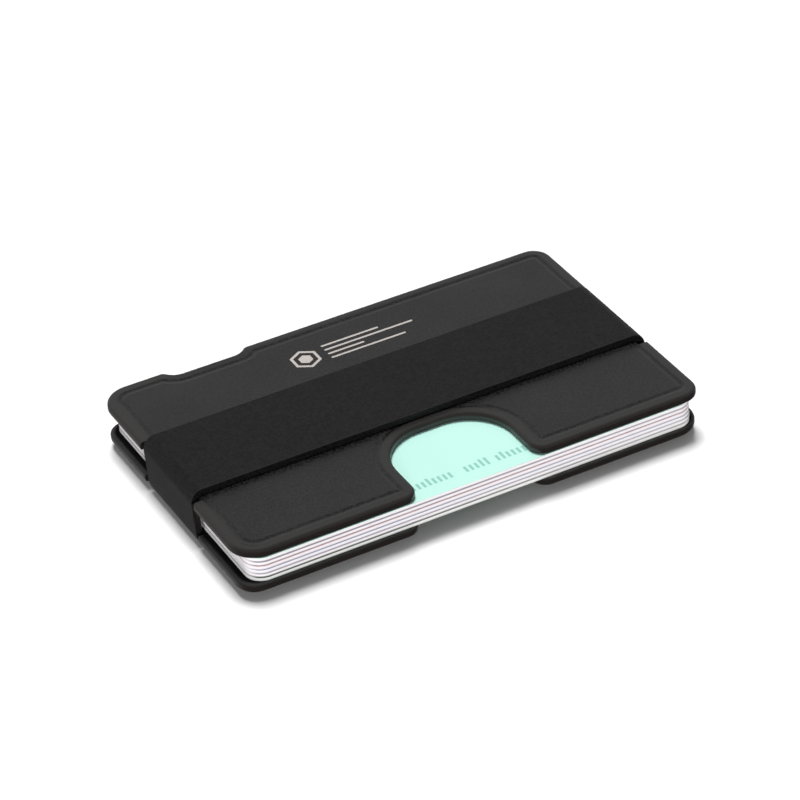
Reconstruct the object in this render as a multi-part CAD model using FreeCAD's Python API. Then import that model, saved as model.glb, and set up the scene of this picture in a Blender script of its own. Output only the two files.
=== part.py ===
import FreeCAD, Part
import math
import os

# A slim card wallet: two aluminium plates squeezed on a stack of bank-sized cards by one
# wide elastic band.  Millimetres.  X runs along the long side, +Y points to the rear, +Z up.
# The origin is the middle of the wallet, on the surface that it lies on.

vector = FreeCAD.Vector

# Cards: the ID-1 size of ISO/IEC 7810.
card_length, card_width, card_thickness = 85.60, 53.98, 0.76
card_corner = 3.18
card_count = 6
stack_gap = 0.04            # air between two flat pieces that lie on each other

# How far each card, from the top one down, lies off the middle of the wallet.
card_shift_x = [0.02, 0.06, 0.04, 0.14, 0.19, 0.17]
card_shift_y = [0.00, 0.03, -0.02, 0.02, -0.03, 0.00]

# Which face carries the contact module, from the top card down: 1 up, -1 down, 0 none.
module_faces = [-1, 1, 1, 1, 0, -1]

# Contact module: a thin contact plate with a smaller block of resin under it.
module_from_left, module_from_top = 15.06, 23.89    # its middle, seen from the card's front
contact_length, contact_width, contact_thickness, contact_corner = 13.0, 11.8, 0.18, 1.6
resin_length, resin_width, resin_thickness, resin_corner = 8.4, 8.0, 0.36, 1.2
pocket_gap = 0.05           # glue line round the module
pocket_floor_gap = 0.02

# Plates: both are the same pressing, one of them turned over.
plate_length, plate_width, plate_thickness = 88.87, 54.70, 1.50
left_corner, right_corner = 5.00, 3.50              # the notch's end is the rounder one
plate_slip = 0.35           # the upper plate lies this far back, the lower one this far forward
rim_round = 0.65            # outer edge, all round
inner_edge_round = 0.30

# Thumb cut-out, in the middle of the front edge.
thumb_half_width, thumb_depth = 11.12, 16.87
thumb_arch_radius, thumb_mouth_radius = 8.85, 2.75

# Shallow notch in the rear edge, near the left end of the upper plate.  The edge between the
# notch and the corner lies a little further back than the long stretch on its other side.
# The notch's walls slope at 45 degrees, and its half width is taken at half its depth.
notch_centre, notch_depth, notch_half_width = -24.05, 1.35, 7.05
notch_step = 0.48
notch_mouth_radius, notch_floor_radius = 1.20, 3.00

# Pressed groove that runs round each plate, inside its rim: a soft hollow, in narrow strips.
groove_middle, groove_half_width, groove_depth = 2.45, 0.72, 0.11
groove_floor_half = 0.06
groove_strips = 4           # on each side of the floor
sharp = 0.05                # radius of a corner that is as good as sharp

# Band, and the recess in each short edge that it lies in.  The band leans: its lower run lies
# further forward than its upper run.
band_front, band_rear = -8.00, 10.50                # of the upper run
band_lean = 1.80
band_thickness = 1.20
band_inner_half = 43.16
band_inner_corner = 1.10
band_gap = 0.05             # between the band and the plates' outer faces
recess_floor_half = 43.01
recess_middle, recess_width = 0.50, 20.40           # from the plate's own middle
recess_mouth_radius = 0.15
recess_round = 1.05         # outer edge of its floor, where the band bends over it

# Heights, from the ground up.
lower_plate_z = band_thickness + band_gap
first_card_z = lower_plate_z + plate_thickness + stack_gap
card_pitch = card_thickness + stack_gap
upper_plate_z = first_card_z + card_count * card_pitch
wallet_height = upper_plate_z + plate_thickness + band_gap + band_thickness


def rounded_outline(corners, z=0.0):
    """Closed wire at height z through (x, y, radius) corners, with arcs at the corners."""
    count = len(corners)
    arcs = []
    for i, (x, y, radius) in enumerate(corners):
        corner = vector(x, y, z)
        before = vector(corners[i - 1][0], corners[i - 1][1], z) - corner
        after = vector(corners[(i + 1) % count][0], corners[(i + 1) % count][1], z) - corner
        before.normalize()
        after.normalize()
        half_angle = before.getAngle(after) / 2
        bisector = (before + after).normalize()
        reach = radius / math.tan(half_angle)
        nearest = radius / math.sin(half_angle) - radius
        arcs.append((corner + before * reach, corner + bisector * nearest, corner + after * reach))
    edges = []
    for i, (start, middle, end) in enumerate(arcs):
        edges.append(Part.Arc(start, middle, end).toShape())
        following = arcs[(i + 1) % count][0]
        if (following - end).Length > 1e-6:
            edges.append(Part.LineSegment(end, following).toShape())
    return Part.Wire(edges)


def rectangle(length, width, radius, middle=(0.0, 0.0)):
    """Corners of an upright rectangle, anticlockwise."""
    x, y = middle
    return [(x + sx * length / 2, y + sy * width / 2, radius)
            for sx, sy in ((-1, -1), (1, -1), (1, 1), (-1, 1))]


def inset(corners, distance):
    """Anticlockwise corners moved inwards by distance; radii shrink outside, grow inside.

    No arc grows past the shorter of its two sides.
    """
    moved = []
    for i, (x, y, radius) in enumerate(corners):
        previous, following = corners[i - 1], corners[(i + 1) % len(corners)]
        incoming = vector(x - previous[0], y - previous[1], 0)
        outgoing = vector(following[0] - x, following[1] - y, 0)
        room = min(incoming.Length, outgoing.Length) - 2 * sharp
        largest = room / math.tan(incoming.getAngle(outgoing) / 2)
        incoming.normalize()
        outgoing.normalize()
        turn = incoming.cross(outgoing).z
        miter = (outgoing - incoming) * (distance / abs(turn))
        sign = 1 if turn > 0 else -1
        moved.append((x + sign * miter.x, y + sign * miter.y,
                      min(max(radius - sign * distance, sharp), largest)))
    return moved


def prism(corners, z, height):
    return Part.Face(rounded_outline(corners, z)).extrude(vector(0, 0, height))


def plate_corners():
    """Outline of a plate, anticlockwise from its front left corner."""
    x, y = plate_length / 2, plate_width / 2
    thumb, arch = thumb_half_width, -y + thumb_depth
    floor, step = y - notch_depth, y + notch_step
    right_half, left_half = notch_depth / 2, (notch_depth + notch_step) / 2
    return [
        (-x, -y, left_corner),
        (-thumb, -y, thumb_mouth_radius),
        (-thumb, arch, thumb_arch_radius),
        (thumb, arch, thumb_arch_radius),
        (thumb, -y, thumb_mouth_radius),
        (x, -y, right_corner),
        (x, y, right_corner),
        (notch_centre + notch_half_width + right_half, y, notch_mouth_radius),
        (notch_centre + notch_half_width - right_half, floor, notch_floor_radius),
        (notch_centre - notch_half_width + left_half, floor, notch_floor_radius),
        (notch_centre - notch_half_width - left_half, step, notch_mouth_radius),
        (-x, step, left_corner),
    ]


def groove_wall(side):
    """Solid inside one wall of the groove, from floor to face; side -1 is the outer wall."""
    corners = plate_corners()
    wires = []
    for strip in range(groove_strips + 1):
        share = strip / groove_strips
        depth = groove_depth * (1 + math.cos(math.pi * share)) / 2
        reach = groove_floor_half + (groove_half_width - groove_floor_half) * share
        outline = inset(corners, groove_middle + side * reach)
        wires.append(rounded_outline(outline, plate_thickness - depth))
    return Part.makeLoft(wires, True, True)


def groove_ring():
    return groove_wall(-1).cut(groove_wall(1))


def recess_cutter(side):
    """What the band's recess takes from one short edge; side is 1 for right, -1 for left."""
    outer = plate_length / 2
    reach, flare = 5.0, recess_mouth_radius
    half = recess_width / 2
    plan = [
        (recess_floor_half, recess_middle - half, sharp),
        (outer, recess_middle - half, flare),
        (outer, recess_middle - half - reach, sharp),
        (outer + reach, recess_middle - half - reach, sharp),
        (outer + reach, recess_middle + half + reach, sharp),
        (outer, recess_middle + half + reach, sharp),
        (outer, recess_middle + half, flare),
        (recess_floor_half, recess_middle + half, sharp),
    ]
    slot = prism(plan, -reach, plate_thickness + 2 * reach)
    rounded = Part.makeBox(2 * recess_floor_half, plate_width, plate_thickness,
                           vector(-recess_floor_half, -plate_width / 2, 0))
    rounded = round_long_edges(rounded, plate_thickness, recess_round)
    rounded = round_long_edges(rounded, 0.0, inner_edge_round)
    slab = Part.makeBox(plate_length / 2, plate_width, plate_thickness + 2 * reach,
                        vector(reach, -plate_width / 2, -reach))
    slot = slot.fuse(Part.makeBox(recess_round * 1.5, recess_width, plate_thickness + 2 * reach,
                                  vector(recess_floor_half - recess_round * 1.5,
                                         recess_middle - half, -reach)))
    cutter = slot.common(slab).cut(rounded)
    if side < 0:
        cutter = cutter.mirror(vector(0, 0, 0), vector(1, 0, 0))
    return cutter


def round_long_edges(solid, z, radius):
    """Round the edges that run along Y at height z."""
    edges = [edge for edge in solid.Edges
             if all(abs(vertex.Z - z) < 1e-6 for vertex in edge.Vertexes)
             and abs(edge.tangentAt(edge.FirstParameter).y) > 0.999]
    return solid.makeFillet(radius, edges)


def round_loop(solid, z, radius):
    """Round every edge of the flat face at height z."""
    edges = [edge for edge in solid.Edges
             if edge.BoundBox.ZMin > z - 1e-6 and edge.BoundBox.ZMax < z + 1e-6]
    return solid.makeFillet(radius, edges)


def plate():
    """One plate, outer face up, centred on X and Y, with its inner face at zero height."""
    solid = prism(plate_corners(), 0.0, plate_thickness)
    solid = round_loop(solid, plate_thickness, rim_round)
    solid = round_loop(solid, 0.0, inner_edge_round)
    for side in (-1, 1):
        solid = solid.cut(recess_cutter(side))
    return solid.cut(groove_ring())


def upper_plate():
    solid = plate()
    solid.translate(vector(0, plate_slip, upper_plate_z))
    return solid


def lower_plate():
    """The same pressing turned over, so that its rear notch is at the other end."""
    solid = plate()
    solid.rotate(vector(0, 0, 0), vector(0, 1, 0), 180)
    solid.translate(vector(0, -plate_slip, lower_plate_z + plate_thickness))
    return solid


def elastic_band():
    """One closed loop round both plates, drawn as its section in XZ and run along Y."""
    height = wallet_height - 2 * band_thickness
    inner = rectangle(2 * band_inner_half, height, band_inner_corner)
    outer = inset(inner, -band_thickness)
    width = plate_width
    loop = prism(outer, 0.0, width).cut(prism(inner, 0.0, width))
    loop.rotate(vector(0, 0, 0), vector(1, 0, 0), 90)
    loop.translate(vector(0, width / 2, wallet_height / 2))
    side = [(band_front - band_lean, 0), (band_rear - band_lean, 0),
            (band_rear, wallet_height), (band_front, wallet_height)]
    points = [vector(-plate_length, y, z) for y, z in side]
    slab = Part.Face(Part.makePolygon(points + points[:1])).extrude(vector(2 * plate_length, 0, 0))
    return loop.common(slab)


def module_middle(index):
    """Middle of the contact module of a card; a card that faces down has it mirrored."""
    x = -card_length / 2 + module_from_left
    y = card_width / 2 - module_from_top
    return x * module_faces[index] + card_shift_x[index], y + card_shift_y[index]


def module_shape(index, gap, floor_gap):
    """Contact plate and resin block, set flush into the card's face, grown by the gaps."""
    x, y = module_middle(index)
    face_up = module_faces[index] > 0
    bottom = card_bottom(index)
    face = bottom + card_thickness if face_up else bottom
    inwards = -1 if face_up else 1
    plate_depth = contact_thickness + floor_gap
    whole_depth = contact_thickness + resin_thickness + floor_gap
    contact = rectangle(contact_length + 2 * gap, contact_width + 2 * gap,
                        contact_corner + gap, (x, y))
    resin = rectangle(resin_length + 2 * gap, resin_width + 2 * gap, resin_corner + gap, (x, y))
    return prism(contact, face, inwards * plate_depth).fuse(
        prism(resin, face, inwards * whole_depth)).removeSplitter()


def card_bottom(index):
    """Height of a card's lower face, counting from the top card."""
    return first_card_z + (card_count - 1 - index) * card_pitch


def card(index):
    middle = (card_shift_x[index], card_shift_y[index])
    outline = rectangle(card_length, card_width, card_corner, middle)
    solid = prism(outline, card_bottom(index), card_thickness)
    if module_faces[index]:
        solid = solid.cut(module_shape(index, pocket_gap, pocket_floor_gap))
    return solid


def single_solid(shape):
    return shape.Solids[0] if len(shape.Solids) == 1 else shape


nodes = {
    "upper_plate": upper_plate(),
    "lower_plate": lower_plate(),
    "elastic_band": elastic_band(),
}
for index in range(card_count):
    nodes[f"card_{index + 1}"] = card(index)
    if module_faces[index]:
        nodes[f"contact_module_{index + 1}"] = module_shape(index, 0.0, 0.0)

whole = Part.makeCompound(list(nodes.values())).BoundBox
os.makedirs("parts", exist_ok=True)
for name, shape in nodes.items():
    shape.translate(vector(-whole.Center.x, -whole.Center.y, 0))
    solid = single_solid(shape)
    solid.exportStep(f"parts/{name}.step")
    box = solid.BoundBox
    print(f"{name:18s} solids {len(shape.Solids)} valid {solid.isValid()} "
          f"volume {solid.Volume:9.2f} z {box.ZMin:6.2f} to {box.ZMax:6.2f}")
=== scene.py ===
import math

import bmesh
import bpy
from mathutils import Matrix, Vector


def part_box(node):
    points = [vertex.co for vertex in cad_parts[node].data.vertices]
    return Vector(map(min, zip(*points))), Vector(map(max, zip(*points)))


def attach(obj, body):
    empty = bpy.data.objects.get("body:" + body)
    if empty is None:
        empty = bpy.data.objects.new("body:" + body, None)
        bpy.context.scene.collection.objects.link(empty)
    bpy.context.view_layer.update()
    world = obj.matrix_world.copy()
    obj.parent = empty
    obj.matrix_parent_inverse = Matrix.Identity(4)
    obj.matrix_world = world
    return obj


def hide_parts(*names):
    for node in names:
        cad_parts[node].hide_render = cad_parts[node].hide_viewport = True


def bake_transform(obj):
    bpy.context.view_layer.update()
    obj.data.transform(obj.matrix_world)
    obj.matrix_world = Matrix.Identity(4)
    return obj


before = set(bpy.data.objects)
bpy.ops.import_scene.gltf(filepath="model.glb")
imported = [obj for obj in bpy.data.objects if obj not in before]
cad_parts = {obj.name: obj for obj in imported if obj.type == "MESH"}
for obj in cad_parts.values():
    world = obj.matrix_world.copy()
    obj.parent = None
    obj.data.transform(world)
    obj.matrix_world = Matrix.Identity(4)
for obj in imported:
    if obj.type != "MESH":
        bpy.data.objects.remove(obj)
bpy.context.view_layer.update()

MM = 0.001

# Camera: where it looks, from where, and how long its lens is, in mm.
TARGET = Vector((1.54, 3.06, 5.2)) * MM
AZIMUTH, ELEVATION, ROLL = -27.22, 34.86, -3.08     # degrees; azimuth 0 looks along +Y
DISTANCE = 606.6 * MM
LENS = 157.3

# Soft lights: azimuth and elevation in degrees, side in metres and power in watts.  Key and fill
# follow the camera's azimuth.
LIGHTS = {
    "key": (AZIMUTH + 192, 71.5, 1.08, 100.0),
    "fill": (AZIMUTH + 8, 8, 0.48, 46.0),
    "side": (-80, 6, 0.48, 20.0),
}
LIGHT_DISTANCE, FLOOR_HALF = 3.0, 1.4     # metres

# Brightness of the surroundings: what the finishes mirror, and what lights them from all round.
SKY_FRONT, SKY_BEHIND, SKY_OVERHEAD = 0.30, 0.64, 0.26
GROUND_FRONT, GROUND_BEHIND = 0.03, 0.42
AMBIENT = 0.11

# The plates' outline, in mm, where their finish follows it: a radius that suits all four
# corners, and the radius, depth and half width of the thumb cut-out's arch.
PLATE_CORNER = 4.2
ARCH_RADIUS, ARCH_DEPTH, ARCH_HALF_WIDTH = 8.85, 16.87, 11.12

# The rubber band: thickness, outer radius of its bends, and radius of its rounded edges.
BAND_THICKNESS, BAND_BEND, BAND_ROUND = 1.20 * MM, 2.30 * MM, 0.17 * MM

# The mark on the upper plate, in mm: the hexagon's place, the two radii of its ring and the
# radius of its core, and the bars, from the front one to the rear one.
HEXAGON_X, HEXAGON_Y = -8.9, 17.9
RING_OUTER, RING_INNER, HEXAGON_CORE = 2.85, 2.25, 1.35
BARS_LEFT, BARS_RIGHT = -4.6, (9.8, 2.2, 12.6, 6.4)
FRONT_BAR, BAR_PITCH, BAR_WIDTH = 15.9, 1.35, 0.45
MARK_LIFT, MARK_THICKNESS = 0.003, 0.010

# Colours, linear.
PLATE_DARK, PLATE_LIGHT = (0.0015, 0.0014, 0.0014), (0.0178, 0.0174, 0.0172)
# Painted highlight: the lighter colour of the plates' rim, between the groove and the edge.
PLATE_EDGE_HIGHLIGHT = (0.0200, 0.0188, 0.0182)
# Painted brownish reflection on the plates' rounded rims and sides; painted shade on their inner
# faces beside the cards.
PLATE_RIM_REFLECTION, PLATE_INSIDE_SHADE = (0.0130, 0.0100, 0.0088), (0.0120, 0.0110, 0.0105)
BAND_DARK, BAND_LIGHT = (0.0018, 0.0018, 0.0020), (0.0085, 0.0082, 0.0090)
# Painted highlight along the band's rounded edges.
BAND_EDGE_HIGHLIGHT = (0.024, 0.021, 0.019)
ENGRAVED = (0.66, 0.61, 0.58)
CARD_CORE = (0.87, 0.84, 0.86)
STRIPE = (0.018, 0.014, 0.012)
SIGNATURE_PANEL = (0.80, 0.79, 0.75)

# Each card: the two colours of its print, and the colours of the lines that the print makes at
# the upper and lower rim of its white edge.
CARDS = {
    "card_1": ((0.52, 0.86, 0.76), (0.58, 0.90, 0.82), (0.62, 0.80, 0.74), (0.34, 0.29, 0.33)),
    "card_2": ((0.060, 0.060, 0.075), (0.22, 0.21, 0.25), (0.24, 0.20, 0.26), (0.60, 0.50, 0.54)),
    "card_3": ((0.30, 0.055, 0.065), (0.50, 0.14, 0.12), (0.58, 0.42, 0.46), (0.62, 0.52, 0.56)),
    "card_4": ((0.045, 0.12, 0.32), (0.10, 0.30, 0.52), (0.15, 0.18, 0.34), (0.64, 0.66, 0.72)),
    "card_5": ((0.55, 0.42, 0.50), (0.78, 0.68, 0.70), (0.46, 0.36, 0.44), (0.12, 0.15, 0.10)),
    "card_6": ((0.035, 0.11, 0.065), (0.12, 0.26, 0.14), (0.035, 0.065, 0.028), (0.50, 0.56, 0.50)),
}
FRONT_FACES_DOWN = ("card_1", "card_6")
SMALL_PRINT, SMALL_PRINT_MINT = (0.75, 0.75, 0.74), (0.12, 0.42, 0.34)


# ---------------------------------------------------------------- materials

class Shader:
    """A Principled material with short calls for the nodes that feed it.  Lengths are in mm."""

    def __init__(self, name, middle=(0.0, 0.0, 0.0), **sockets):
        self.material = bpy.data.materials.new(name)
        self.material.use_nodes = True
        self.tree = self.material.node_tree
        self.principled = self.tree.nodes["Principled BSDF"]
        for socket, value in sockets.items():
            self.principled.inputs[socket.replace("_", " ")].default_value = value
        place = self.node("ShaderNodeTexCoord")
        from_middle = self.vector("SUBTRACT", place.outputs["Object"], tuple(middle))
        self.place = self.vector("SCALE", from_middle, scale=1 / MM)
        self.x, self.y, self.z = self.node("ShaderNodeSeparateXYZ", {0: self.place}).outputs
        self.facing_x, self.facing_y, self.up = self.node(
            "ShaderNodeSeparateXYZ", {0: place.outputs["Normal"]}).outputs

    def node(self, kind, inputs=(), **settings):
        made = self.tree.nodes.new(kind)
        for key, value in settings.items():
            setattr(made, key, value)
        for key, value in dict(inputs).items():
            self.put(made.inputs[key], value)
        return made

    def put(self, socket, value):
        """Link an output, or set a plain value."""
        if isinstance(value, bpy.types.NodeSocket):
            self.tree.links.new(value, socket)
        elif socket.type == "RGBA":
            socket.default_value = (*value[:3], 1.0)
        else:
            socket.default_value = value

    def set(self, socket, value):
        """Feed one of the material's own sockets."""
        self.put(self.principled.inputs[socket], value)

    def vector(self, operation, a, b=(0, 0, 0), scale=1.0):
        made = self.node("ShaderNodeVectorMath", {0: a, 1: b}, operation=operation)
        if operation == "SCALE":
            self.put(made.inputs["Scale"], scale)
        return made.outputs[0]

    def math(self, operation, a, b=0.0):
        return self.node("ShaderNodeMath", {0: a, 1: b}, operation=operation).outputs[0]

    def add(self, *values):
        total = values[0]
        for value in values[1:]:
            total = self.math("ADD", total, value)
        return total

    def times(self, *values):
        product = values[0]
        for value in values[1:]:
            product = self.math("MULTIPLY", product, value)
        return product

    def ramp(self, value, low, high, to_low=0.0, to_high=1.0):
        """Smooth step from to_low to to_high, as value goes from low to high."""
        made = self.node("ShaderNodeMapRange",
                         {"Value": value, "From Min": low, "From Max": high,
                          "To Min": to_low, "To Max": to_high},
                         interpolation_type="SMOOTHSTEP")
        return made.outputs["Result"]

    def inside(self, value, low, high, soft=0.04):
        """1 where value lies between low and high, with soft ends."""
        return self.times(self.ramp(value, low - soft, low + soft),
                          self.ramp(value, high + soft, high - soft))

    def box(self, x_low, x_high, y_low, y_high, soft=0.04):
        """1 inside a rectangle, in mm from the material's middle."""
        return self.times(self.inside(self.x, x_low, x_high, soft),
                          self.inside(self.y, y_low, y_high, soft))

    def noise(self, size, detail=2.0, stretch=(1, 1, 1)):
        """Noise from 0 to 1 with features of about size millimetres."""
        vector = self.place
        if stretch != (1, 1, 1):
            vector = self.vector("DIVIDE", vector, stretch)
        made = self.node("ShaderNodeTexNoise",
                         {"Vector": vector, "Scale": 1 / size, "Detail": detail})
        return made.outputs["Fac"]

    def mix(self, factor, a, b):
        """Colour a where factor is 0, and b where it is 1."""
        made = self.node("ShaderNodeMix", {0: factor, 6: a, 7: b}, data_type="RGBA")
        return made.outputs[2]

    def bump(self, height, strength, distance):
        """Adds one layer of bump, distance millimetres high, on top of the earlier ones."""
        socket = self.principled.inputs["Normal"]
        made = self.node("ShaderNodeBump",
                         {"Height": height, "Strength": strength, "Distance": distance * MM})
        if socket.links:
            self.put(made.inputs["Normal"], socket.links[0].from_socket)
        self.put(socket, made.outputs[0])


def beyond(s, along, reach_x, reach_y, radius):
    """Distance outside a round-cornered rectangle: reach_x and reach_y are where its corner arcs
    are centred, and along is the place measured towards reach_y."""
    across = s.math("MAXIMUM", s.add(s.math("ABSOLUTE", s.x), -reach_x), 0.0)
    along = s.math("MAXIMUM", s.add(along, -reach_y), 0.0)
    return s.add(s.math("SQRT", s.add(s.times(across, across), s.times(along, along))), -radius)


def anodised_black(node):
    """Bead-blasted, black anodised aluminium: a fine even grain, a painted highlight on the rim
    between the groove and the edge, and a painted brownish reflection on the rounded rims and
    sides.  The inner face, against the cards, gets painted shade: a darker colour and a dark
    metallic reflection, and it is also rougher."""
    low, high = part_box(node)
    s = Shader(node + "_anodised", middle=(low + high) / 2)
    half = (high - low) / 2 / MM
    past_edge = beyond(s, s.math("ABSOLUTE", s.y), half.x - PLATE_CORNER, half.y - PLATE_CORNER,
                       PLATE_CORNER)
    past_arch = beyond(s, s.y, ARCH_HALF_WIDTH - ARCH_RADIUS,
                       ARCH_DEPTH - ARCH_RADIUS - half.y, ARCH_RADIUS)
    to_edge = s.times(past_edge, -1.0)
    # Painted highlight: lighter colour within about 2 mm of the outer edge and of the arch.
    rim_highlight = s.ramp(s.math("MINIMUM", to_edge, past_arch), 2.1, 1.5)
    grain = s.noise(0.40)
    cloud = s.noise(14.0)
    scuffs = s.ramp(s.noise(1.3, detail=4.0, stretch=(4, 1, 1)), 0.62, 0.78)
    rounded = s.ramp(s.math("ABSOLUTE", s.up), 0.985, 0.60)
    inwards = s.times(s.z, -1.0 if node == "upper_plate" else 1.0)
    # Painted shade on the inner face against the cards, away from its outer edge: a darker colour
    # and a metallic finish that darkens its reflection.  The face is also rougher.
    inside = s.times(s.ramp(inwards, half.z - 0.09, half.z - 0.01), s.ramp(to_edge, 0.4, 1.1))
    base = s.mix(s.ramp(s.add(s.times(grain, 0.85), s.times(cloud, 0.15)), 0.36, 0.64),
                 PLATE_DARK, PLATE_LIGHT)
    base = s.mix(s.times(rim_highlight, 0.85), base, PLATE_EDGE_HIGHLIGHT)
    # Painted brownish reflection on the rounded rims and the sides.
    base = s.mix(s.times(rounded, 0.85), base, PLATE_RIM_REFLECTION)
    # Painted shade: the inner face's dark colour and dark metallic reflection.
    s.set("Base Color", s.mix(inside, base, PLATE_INSIDE_SHADE))
    s.set("Metallic", inside)
    s.set("Roughness", s.add(s.ramp(grain, 0.3, 0.7, 0.34, 0.48), s.times(scuffs, 0.06),
                             s.times(rounded, -0.04), s.times(inside, 0.45)))
    s.bump(grain, 0.45, 0.014)
    return s.material


def silicone_rubber():
    """Matte silicone rubber with the faint drawn grain of its mould, and a painted highlight along
    its rounded edges.
    """
    s = Shader("silicone_rubber", Specular_IOR_Level=0.28)
    fine = s.noise(0.42, detail=1.0)
    drawn = s.noise(0.5, stretch=(5, 1, 1))
    cloud = s.noise(11.0)
    blend = s.add(s.times(fine, 0.6), s.times(cloud, 0.2), s.times(drawn, 0.2))
    base = s.mix(s.ramp(blend, 0.36, 0.64), BAND_DARK, BAND_LIGHT)
    # Painted highlight on the rounded edges between the band's wide faces and its narrow ones.
    sideways = s.math("ABSOLUTE", s.facing_y)
    edge = s.times(s.ramp(sideways, 0.10, 0.30), s.ramp(sideways, 0.90, 0.60))
    s.set("Base Color", s.mix(edge, base, BAND_EDGE_HIGHLIGHT))
    s.set("Roughness", s.ramp(cloud, 0.2, 0.8, 0.50, 0.58))
    s.bump(s.add(s.times(fine, 0.7), s.times(drawn, 0.3)), 0.4, 0.012)
    return s.material


def print_rows(s, rows):
    """Rows of short dashes, with gaps and some taller ones by chance; each row is x_low, x_high,
    y_low, height, pitch."""
    gap_under, tall_over = 0.14, 0.72
    total = 0.0
    for x_low, x_high, y_low, height, pitch in rows:
        letter = s.math("DIVIDE", s.x, pitch)
        stroke = s.inside(s.math("FRACT", letter), 0.28, 0.78, soft=0.10)
        chance = s.node("ShaderNodeTexWhiteNoise", {"W": s.math("FLOOR", letter)},
                        noise_dimensions="1D").outputs["Value"]
        drawn = s.math("GREATER_THAN", chance, gap_under)
        tall = s.math("GREATER_THAN", chance, tall_over)
        top = s.add(s.times(tall, height * 0.3), y_low + height)
        upright = s.times(s.ramp(s.y, y_low - 0.08, y_low + 0.08),
                          s.ramp(s.math("SUBTRACT", s.y, top), 0.08, -0.08))
        row = s.times(stroke, drawn, upright, s.inside(s.x, x_low, x_high))
        total = s.math("MAXIMUM", row, total)
    return total


def front_print(s, ground, second):
    """The side with the contact module: a sweep of two colours, fine rings round a place past
    the corner, and three rows of dashes."""
    rings_x, rings_y, ring_pitch = 52.0, -34.0, 5.5
    sweep = s.ramp(s.add(s.x, s.times(s.y, 1.4)), -45.0, 40.0)
    aside, above = s.add(s.x, -rings_x), s.add(s.y, -rings_y)
    radius = s.math("SQRT", s.add(s.times(aside, aside), s.times(above, above)))
    rings = s.inside(s.math("FRACT", s.times(radius, 1 / ring_pitch)), 0.44, 0.56, soft=0.06)
    colour = s.mix(sweep, ground, second)
    colour = s.mix(s.times(rings, 0.22), colour, (0.9, 0.9, 0.9))
    rows = print_rows(s, [(-33.0, 31.0, -9.5, 2.6, 2.6), (-33.0, -2.0, -20.5, 1.7, 1.5),
                          (12.0, 28.0, -16.0, 1.3, 1.2)])
    return s.mix(s.times(rows, 0.85), colour, (0.82, 0.82, 0.80))


def back_print(s, ground, second, ink):
    """The side with the magnetic stripe, the signature panel and two rows of small print."""
    stripe_low, stripe_high = 10.3, 23.0
    wave = s.ramp(s.add(s.y, s.times(s.math("SINE", s.times(s.x, 0.07)), 5.0)), -20.0, 12.0)
    colour = s.mix(wave, ground, second)
    colour = s.mix(s.inside(s.y, stripe_low, stripe_high), colour, STRIPE)
    panel = s.box(-34.0, 22.0, -1.5, 6.5)
    lines = s.inside(s.math("FRACT", s.times(s.y, 1.25)), 0.42, 0.58, soft=0.08)
    colour = s.mix(panel, colour, SIGNATURE_PANEL)
    colour = s.mix(s.times(panel, lines, 0.35), colour, ground)
    rows = print_rows(s, [(-36.0, 36.0, -24.2, 1.62, 1.02), (-34.0, -6.0, -7.0, 1.1, 0.8)])
    return s.mix(s.times(rows, 0.66), colour, ink)


def card_laminate(node, ground, second, upper_line, lower_line):
    """Laminated card: print under a clear film on both faces, white core at the edge.  The lines
    of print at the edge are fainter round the short ends and towards the right."""
    line_fades, line_ends = 0.07, 0.27
    low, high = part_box(node)
    s = Shader(node + "_laminate", middle=(low + high) / 2, Roughness=0.34,
               Coat_Weight=0.2, Coat_Roughness=0.15)
    ink = SMALL_PRINT_MINT if node == "card_1" else SMALL_PRINT
    front, back = front_print(s, ground, second), back_print(s, ground, second, ink)
    if node in FRONT_FACES_DOWN:
        front, back = back, front
    printed = s.mix(s.ramp(s.up, -0.1, 0.1), back, front)
    half = (high.z - low.z) / 2 / MM
    at_ends = s.ramp(s.math("ABSOLUTE", s.facing_x), 0.60, 0.95, 1.0, 0.35)
    at_right = s.ramp(s.x, -30.0, 35.0, 1.0, 0.6 if node in ("card_5", "card_6") else 0.8)
    strength = s.times(at_ends, at_right)
    upper = s.ramp(s.z, half - line_ends, half - line_fades)
    lower = s.ramp(s.z, -half + line_ends, -half + line_fades)
    edge = s.mix(s.times(strength, upper), CARD_CORE, upper_line)
    edge = s.mix(s.times(strength, lower), edge, lower_line)
    face = s.ramp(s.math("ABSOLUTE", s.up), 0.4, 0.6)
    speckle = s.noise(0.35)
    colour = s.mix(face, edge, printed)
    s.set("Base Color", s.mix(s.ramp(speckle, 0.35, 0.8, 0.0, 0.05), colour, (0.35, 0.40, 0.40)))
    s.bump(speckle, 0.2, 0.004)
    return s.material


def gold_contacts(node):
    """Gold-plated contact plate: eight pads round a middle field, parted by dark gaps."""
    low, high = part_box(node)
    s = Shader(node + "_gold", middle=(low + high) / 2, Metallic=1.0)
    across, along = s.math("ABSOLUTE", s.x), s.math("ABSOLUTE", s.y)
    half_gap, field, pad_edges = 0.09, 2.3, (0.0, 2.9)
    outer = s.ramp(across, field, field + 0.1)
    gaps = s.inside(across, field - half_gap, field + half_gap)
    for place in pad_edges:
        line = s.inside(along, place - half_gap, place + half_gap)
        gaps = s.math("MAXIMUM", gaps, s.times(outer, line))
    wear = s.noise(1.2, detail=4.0)
    gold = s.mix(wear, (0.72, 0.49, 0.20), (0.86, 0.64, 0.31))
    s.set("Base Color", s.mix(gaps, gold, (0.045, 0.035, 0.02)))
    s.set("Roughness", s.ramp(wear, 0.3, 0.7, 0.22, 0.34))
    s.bump(s.times(gaps, -1.0), 0.6, 0.03)
    return s.material


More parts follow.
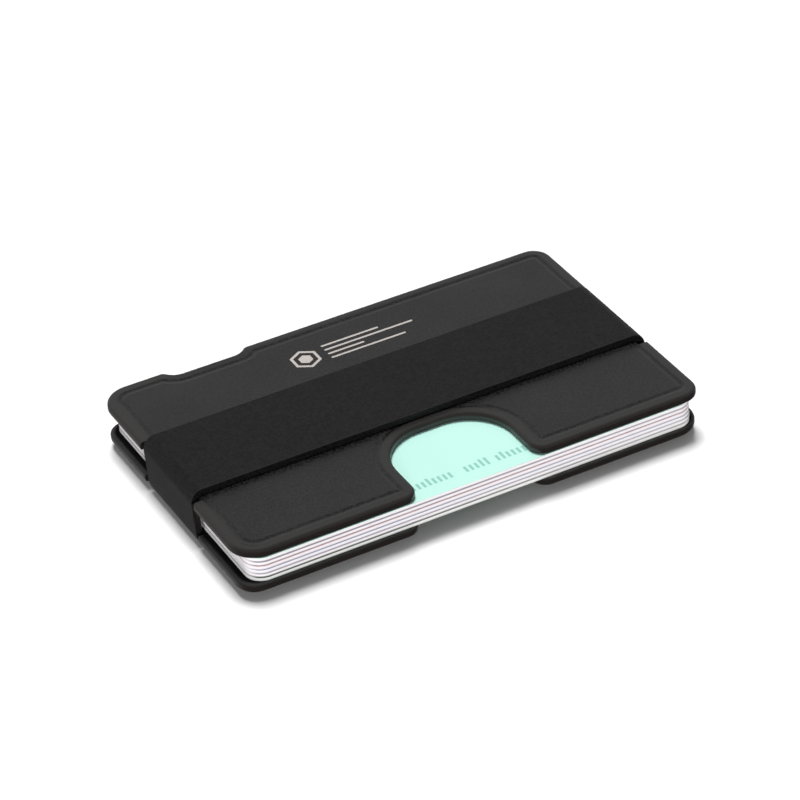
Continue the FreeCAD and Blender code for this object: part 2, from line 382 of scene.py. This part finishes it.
def engraved_aluminium():
    """Laser-engraved mark: bare, finely frosted aluminium."""
    s = Shader("engraved_aluminium", Metallic=0.25)
    frost = s.noise(0.12)
    s.set("Base Color", s.mix(frost, tuple(c * 0.88 for c in ENGRAVED), ENGRAVED))
    s.set("Roughness", s.ramp(frost, 0.2, 0.8, 0.55, 0.7))
    s.bump(frost, 0.4, 0.006)
    return s.material


# ---------------------------------------------------------------- pieces

def give(node, material):
    """Put a finished material on a CAD node."""
    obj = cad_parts[node]
    obj.data.materials.clear()
    obj.data.materials.append(material)


def add_mesh(name, points, faces, material, smooth=False):
    mesh = bpy.data.meshes.new(name)
    mesh.from_pydata(points, [], faces)
    mesh.materials.append(material)
    mesh.polygons.foreach_set("use_smooth", [smooth] * len(mesh.polygons))
    obj = bpy.data.objects.new(name, mesh)
    bpy.context.scene.collection.objects.link(obj)
    return obj


def band_loop(half_length, height, corner, bend_steps=14, side_steps=10):
    """Points of the band's outer surface in X and Z, each with its outward direction, as one
    loop.  The upright runs have side_steps rows each."""
    loop = []
    for turn in range(4):
        middle_x = (half_length - corner) * (1 if turn in (0, 3) else -1)
        middle_z = height - corner if turn in (0, 1) else corner
        for step in range(bend_steps + 1):
            a = math.pi / 2 * (turn + step / bend_steps)
            loop.append((middle_x + corner * math.cos(a), middle_z + corner * math.sin(a),
                         math.cos(a), math.sin(a)))
        if turn in (1, 3):
            x, z, out_x, out_z = loop[-1]
            run = (height - 2 * corner) * (1 if turn == 3 else -1)
            for step in range(1, side_steps):
                loop.append((x, z + run * step / side_steps, out_x, out_z))
    return loop


def rounded_section(width, thickness, edge, steps=5, guard=0.12 * MM):
    """Depth and place across, round a flat bar with rounded edges.  A guard point stands beside
    each round, so that the flats stay flat when shaded."""
    middles = [(edge, edge), (edge, width - edge),
               (thickness - edge, width - edge), (thickness - edge, edge)]
    section = []
    for turn, (depth, across) in enumerate(middles):
        start = math.pi * (1.5 - turn / 2)
        end = start - math.pi / 2
        section.append((depth + edge * math.cos(start) - guard * math.sin(start),
                        across + edge * math.sin(start) + guard * math.cos(start)))
        for step in range(steps + 1):
            a = start - math.pi / 2 * step / steps
            section.append((depth + edge * math.cos(a), across + edge * math.sin(a)))
        section.append((depth + edge * math.cos(end) + guard * math.sin(end),
                        across + edge * math.sin(end) - guard * math.cos(end)))
    return section


def rubber_band():
    """The stretched loop of rubber, with softly rounded edges, leaning as the CAD solid does."""
    low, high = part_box("elastic_band")
    solid = [vertex.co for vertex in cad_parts["elastic_band"].data.vertices]
    upper_run = [point.y for point in solid if point.z > high.z - 0.01 * MM]
    lower_run = [point.y for point in solid if point.z < low.z + 0.01 * MM]
    width, lean = max(upper_run) - min(upper_run), min(upper_run) - min(lower_run)
    height = high.z - low.z
    loop = band_loop(high.x, height, BAND_BEND)
    section = rounded_section(width, BAND_THICKNESS, BAND_ROUND)
    points, faces = [], []
    for x, z, out_x, out_z in loop:
        for depth, across in section:
            point_z = z - out_z * depth
            point_y = low.y + lean * point_z / height + across
            points.append((x - out_x * depth, point_y, point_z))
    count, ring = len(loop), len(section)
    for i in range(count):
        for j in range(ring):
            here, there, beside = i * ring, (i + 1) % count * ring, (j + 1) % ring
            faces.append((here + j, here + beside, there + beside, there + j))
    band = add_mesh("rubber_band", points, faces, silicone_rubber(), smooth=True)
    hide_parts("elastic_band")
    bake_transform(band)


def extrude(mesh, outline, low, high, hole=None):
    """Solid from an outline in mm, or from the strip between it and a hole with as many points."""
    rims = [outline] if hole is None else [outline, hole]
    layers = [[[mesh.verts.new((x * MM, y * MM, z)) for x, y in rim] for rim in rims]
              for z in (low, high)]
    for i in range(len(outline)):
        j = (i + 1) % len(outline)
        for lower, upper in zip(*layers):
            mesh.faces.new((lower[i], lower[j], upper[j], upper[i]))
        if hole is not None:
            for outer, inner in layers:
                mesh.faces.new((outer[i], outer[j], inner[j], inner[i]))
    if hole is None:
        for layer in layers:
            mesh.faces.new(layer[0])


def hexagon(radius):
    turns = [math.pi * (2 * i + 1) / 6 for i in range(6)]
    return [(HEXAGON_X + radius * math.cos(a), HEXAGON_Y + radius * math.sin(a)) for a in turns]


def bar(right, middle):
    """Outline of one bar, with round ends."""
    half = BAR_WIDTH / 2
    ends = [math.pi * i / 6 for i in range(7)]
    return ([(right + half * math.sin(a), middle - half * math.cos(a)) for a in ends]
            + [(BARS_LEFT - half * math.sin(a), middle + half * math.cos(a)) for a in ends])


def engraved_mark():
    """A plain mark on the upper plate: a hexagon in a hexagonal ring, and four bars."""
    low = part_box("upper_plate")[1].z + MARK_LIFT * MM
    high = low + MARK_THICKNESS * MM
    mesh = bmesh.new()
    extrude(mesh, hexagon(RING_OUTER), low, high, hole=hexagon(RING_INNER))
    extrude(mesh, hexagon(HEXAGON_CORE), low, high)
    for row, right in enumerate(BARS_RIGHT):
        extrude(mesh, bar(right, FRONT_BAR + BAR_PITCH * row), low, high)
    bmesh.ops.recalc_face_normals(mesh, faces=mesh.faces)
    data = bpy.data.meshes.new("engraved_mark")
    mesh.to_mesh(data)
    mesh.free()
    data.materials.append(engraved_aluminium())
    obj = bpy.data.objects.new("engraved_mark", data)
    bpy.context.scene.collection.objects.link(obj)
    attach(obj, "upper_shell")


# ---------------------------------------------------------------- stage

def floor():
    """Plain white floor.  The finishes mirror the ground of the surroundings in its place."""
    corners = [(-FLOOR_HALF, -FLOOR_HALF, 0), (FLOOR_HALF, -FLOOR_HALF, 0),
               (FLOOR_HALF, FLOOR_HALF, 0), (-FLOOR_HALF, FLOOR_HALF, 0)]
    s = Shader("floor_white", Roughness=0.9, Specular_IOR_Level=0.0)
    s.set("Base Color", (0.97, 0.97, 0.97))
    obj = add_mesh("floor", corners, [(0, 1, 2, 3)], s.material)
    obj.visible_glossy = False


def direction(azimuth, elevation):
    """Unit vector that points from the object to the front, -Y, at azimuth 0, and back at 180."""
    azimuth, elevation = math.radians(azimuth), math.radians(elevation)
    return Vector((math.sin(azimuth) * math.cos(elevation),
                   -math.cos(azimuth) * math.cos(elevation), math.sin(elevation)))


def area_light(name, azimuth, elevation, size, power):
    """A soft square light aimed at the object, with no reflection of its own."""
    place = LIGHT_DISTANCE * direction(azimuth, elevation)
    data = bpy.data.lights.new(name, "AREA")
    data.size = size
    data.energy = power
    obj = bpy.data.objects.new(name, data)
    bpy.context.scene.collection.objects.link(obj)
    obj.location = place
    obj.rotation_euler = place.to_track_quat("Z", "Y").to_euler()
    obj.visible_glossy = False


def surroundings():
    """White backdrop.  The finishes mirror a sky and a ground that are brightest behind the
    object, and dimmer in front of it and overhead."""
    world = bpy.data.worlds.new("studio")
    world.use_nodes = True
    tree = world.node_tree

    def plain(level):
        made = tree.nodes.new("ShaderNodeRGB")
        made.outputs[0].default_value = (level, level, level, 1.0)
        return made.outputs[0]

    def step(value, low, high):
        made = tree.nodes.new("ShaderNodeMapRange")
        made.interpolation_type = "SMOOTHSTEP"
        made.inputs["From Min"].default_value = low
        made.inputs["From Max"].default_value = high
        tree.links.new(value, made.inputs["Value"])
        return made.outputs["Result"]

    def choose(factor, at_zero, at_one):
        made = tree.nodes.new("ShaderNodeMix")
        made.data_type = "RGBA"
        for socket, value in zip((made.inputs[0], made.inputs[6], made.inputs[7]),
                                 (factor, at_zero, at_one)):
            tree.links.new(value, socket)
        return made.outputs[2]

    ray = tree.nodes.new("ShaderNodeTexCoord").outputs["Generated"]
    split = tree.nodes.new("ShaderNodeSeparateXYZ")
    tree.links.new(ray, split.inputs[0])
    behind, up = split.outputs[1], split.outputs[2]
    ground = choose(step(behind, -0.2, 0.6), plain(GROUND_FRONT), plain(GROUND_BEHIND))
    low_sky = choose(step(behind, 0.1, 0.95), plain(SKY_FRONT), plain(SKY_BEHIND))
    sky = choose(step(up, 0.60, 0.92), low_sky, plain(SKY_OVERHEAD))
    mirrored = choose(step(up, -0.06, 0.06), ground, sky)
    path = tree.nodes.new("ShaderNodeLightPath").outputs
    colour = choose(path["Is Glossy Ray"], plain(AMBIENT), mirrored)
    colour = choose(path["Is Camera Ray"], colour, plain(1.0))
    tree.links.new(colour, tree.nodes["Background"].inputs["Color"])
    bpy.context.scene.world = world


def camera():
    data = bpy.data.cameras.new("camera")
    data.lens = LENS
    data.clip_start, data.clip_end = 0.01, 20.0
    obj = bpy.data.objects.new("camera", data)
    bpy.context.scene.collection.objects.link(obj)
    back = direction(AZIMUTH, ELEVATION)
    turn = back.to_track_quat("Z", "Y").to_matrix() @ Matrix.Rotation(math.radians(ROLL), 3, "Z")
    obj.matrix_world = Matrix.Translation(TARGET + back * DISTANCE) @ turn.to_4x4()
    bpy.context.scene.camera = obj


for node in ("upper_plate", "lower_plate"):
    give(node, anodised_black(node))
for node, colours in CARDS.items():
    give(node, card_laminate(node, *colours))
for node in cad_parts:
    if node.startswith("contact_module"):
        give(node, gold_contacts(node))
rubber_band()
engraved_mark()

floor()
camera()
surroundings()
for name, light in LIGHTS.items():
    area_light(name, *light)
bpy.context.scene.view_settings.view_transform = "Standard"
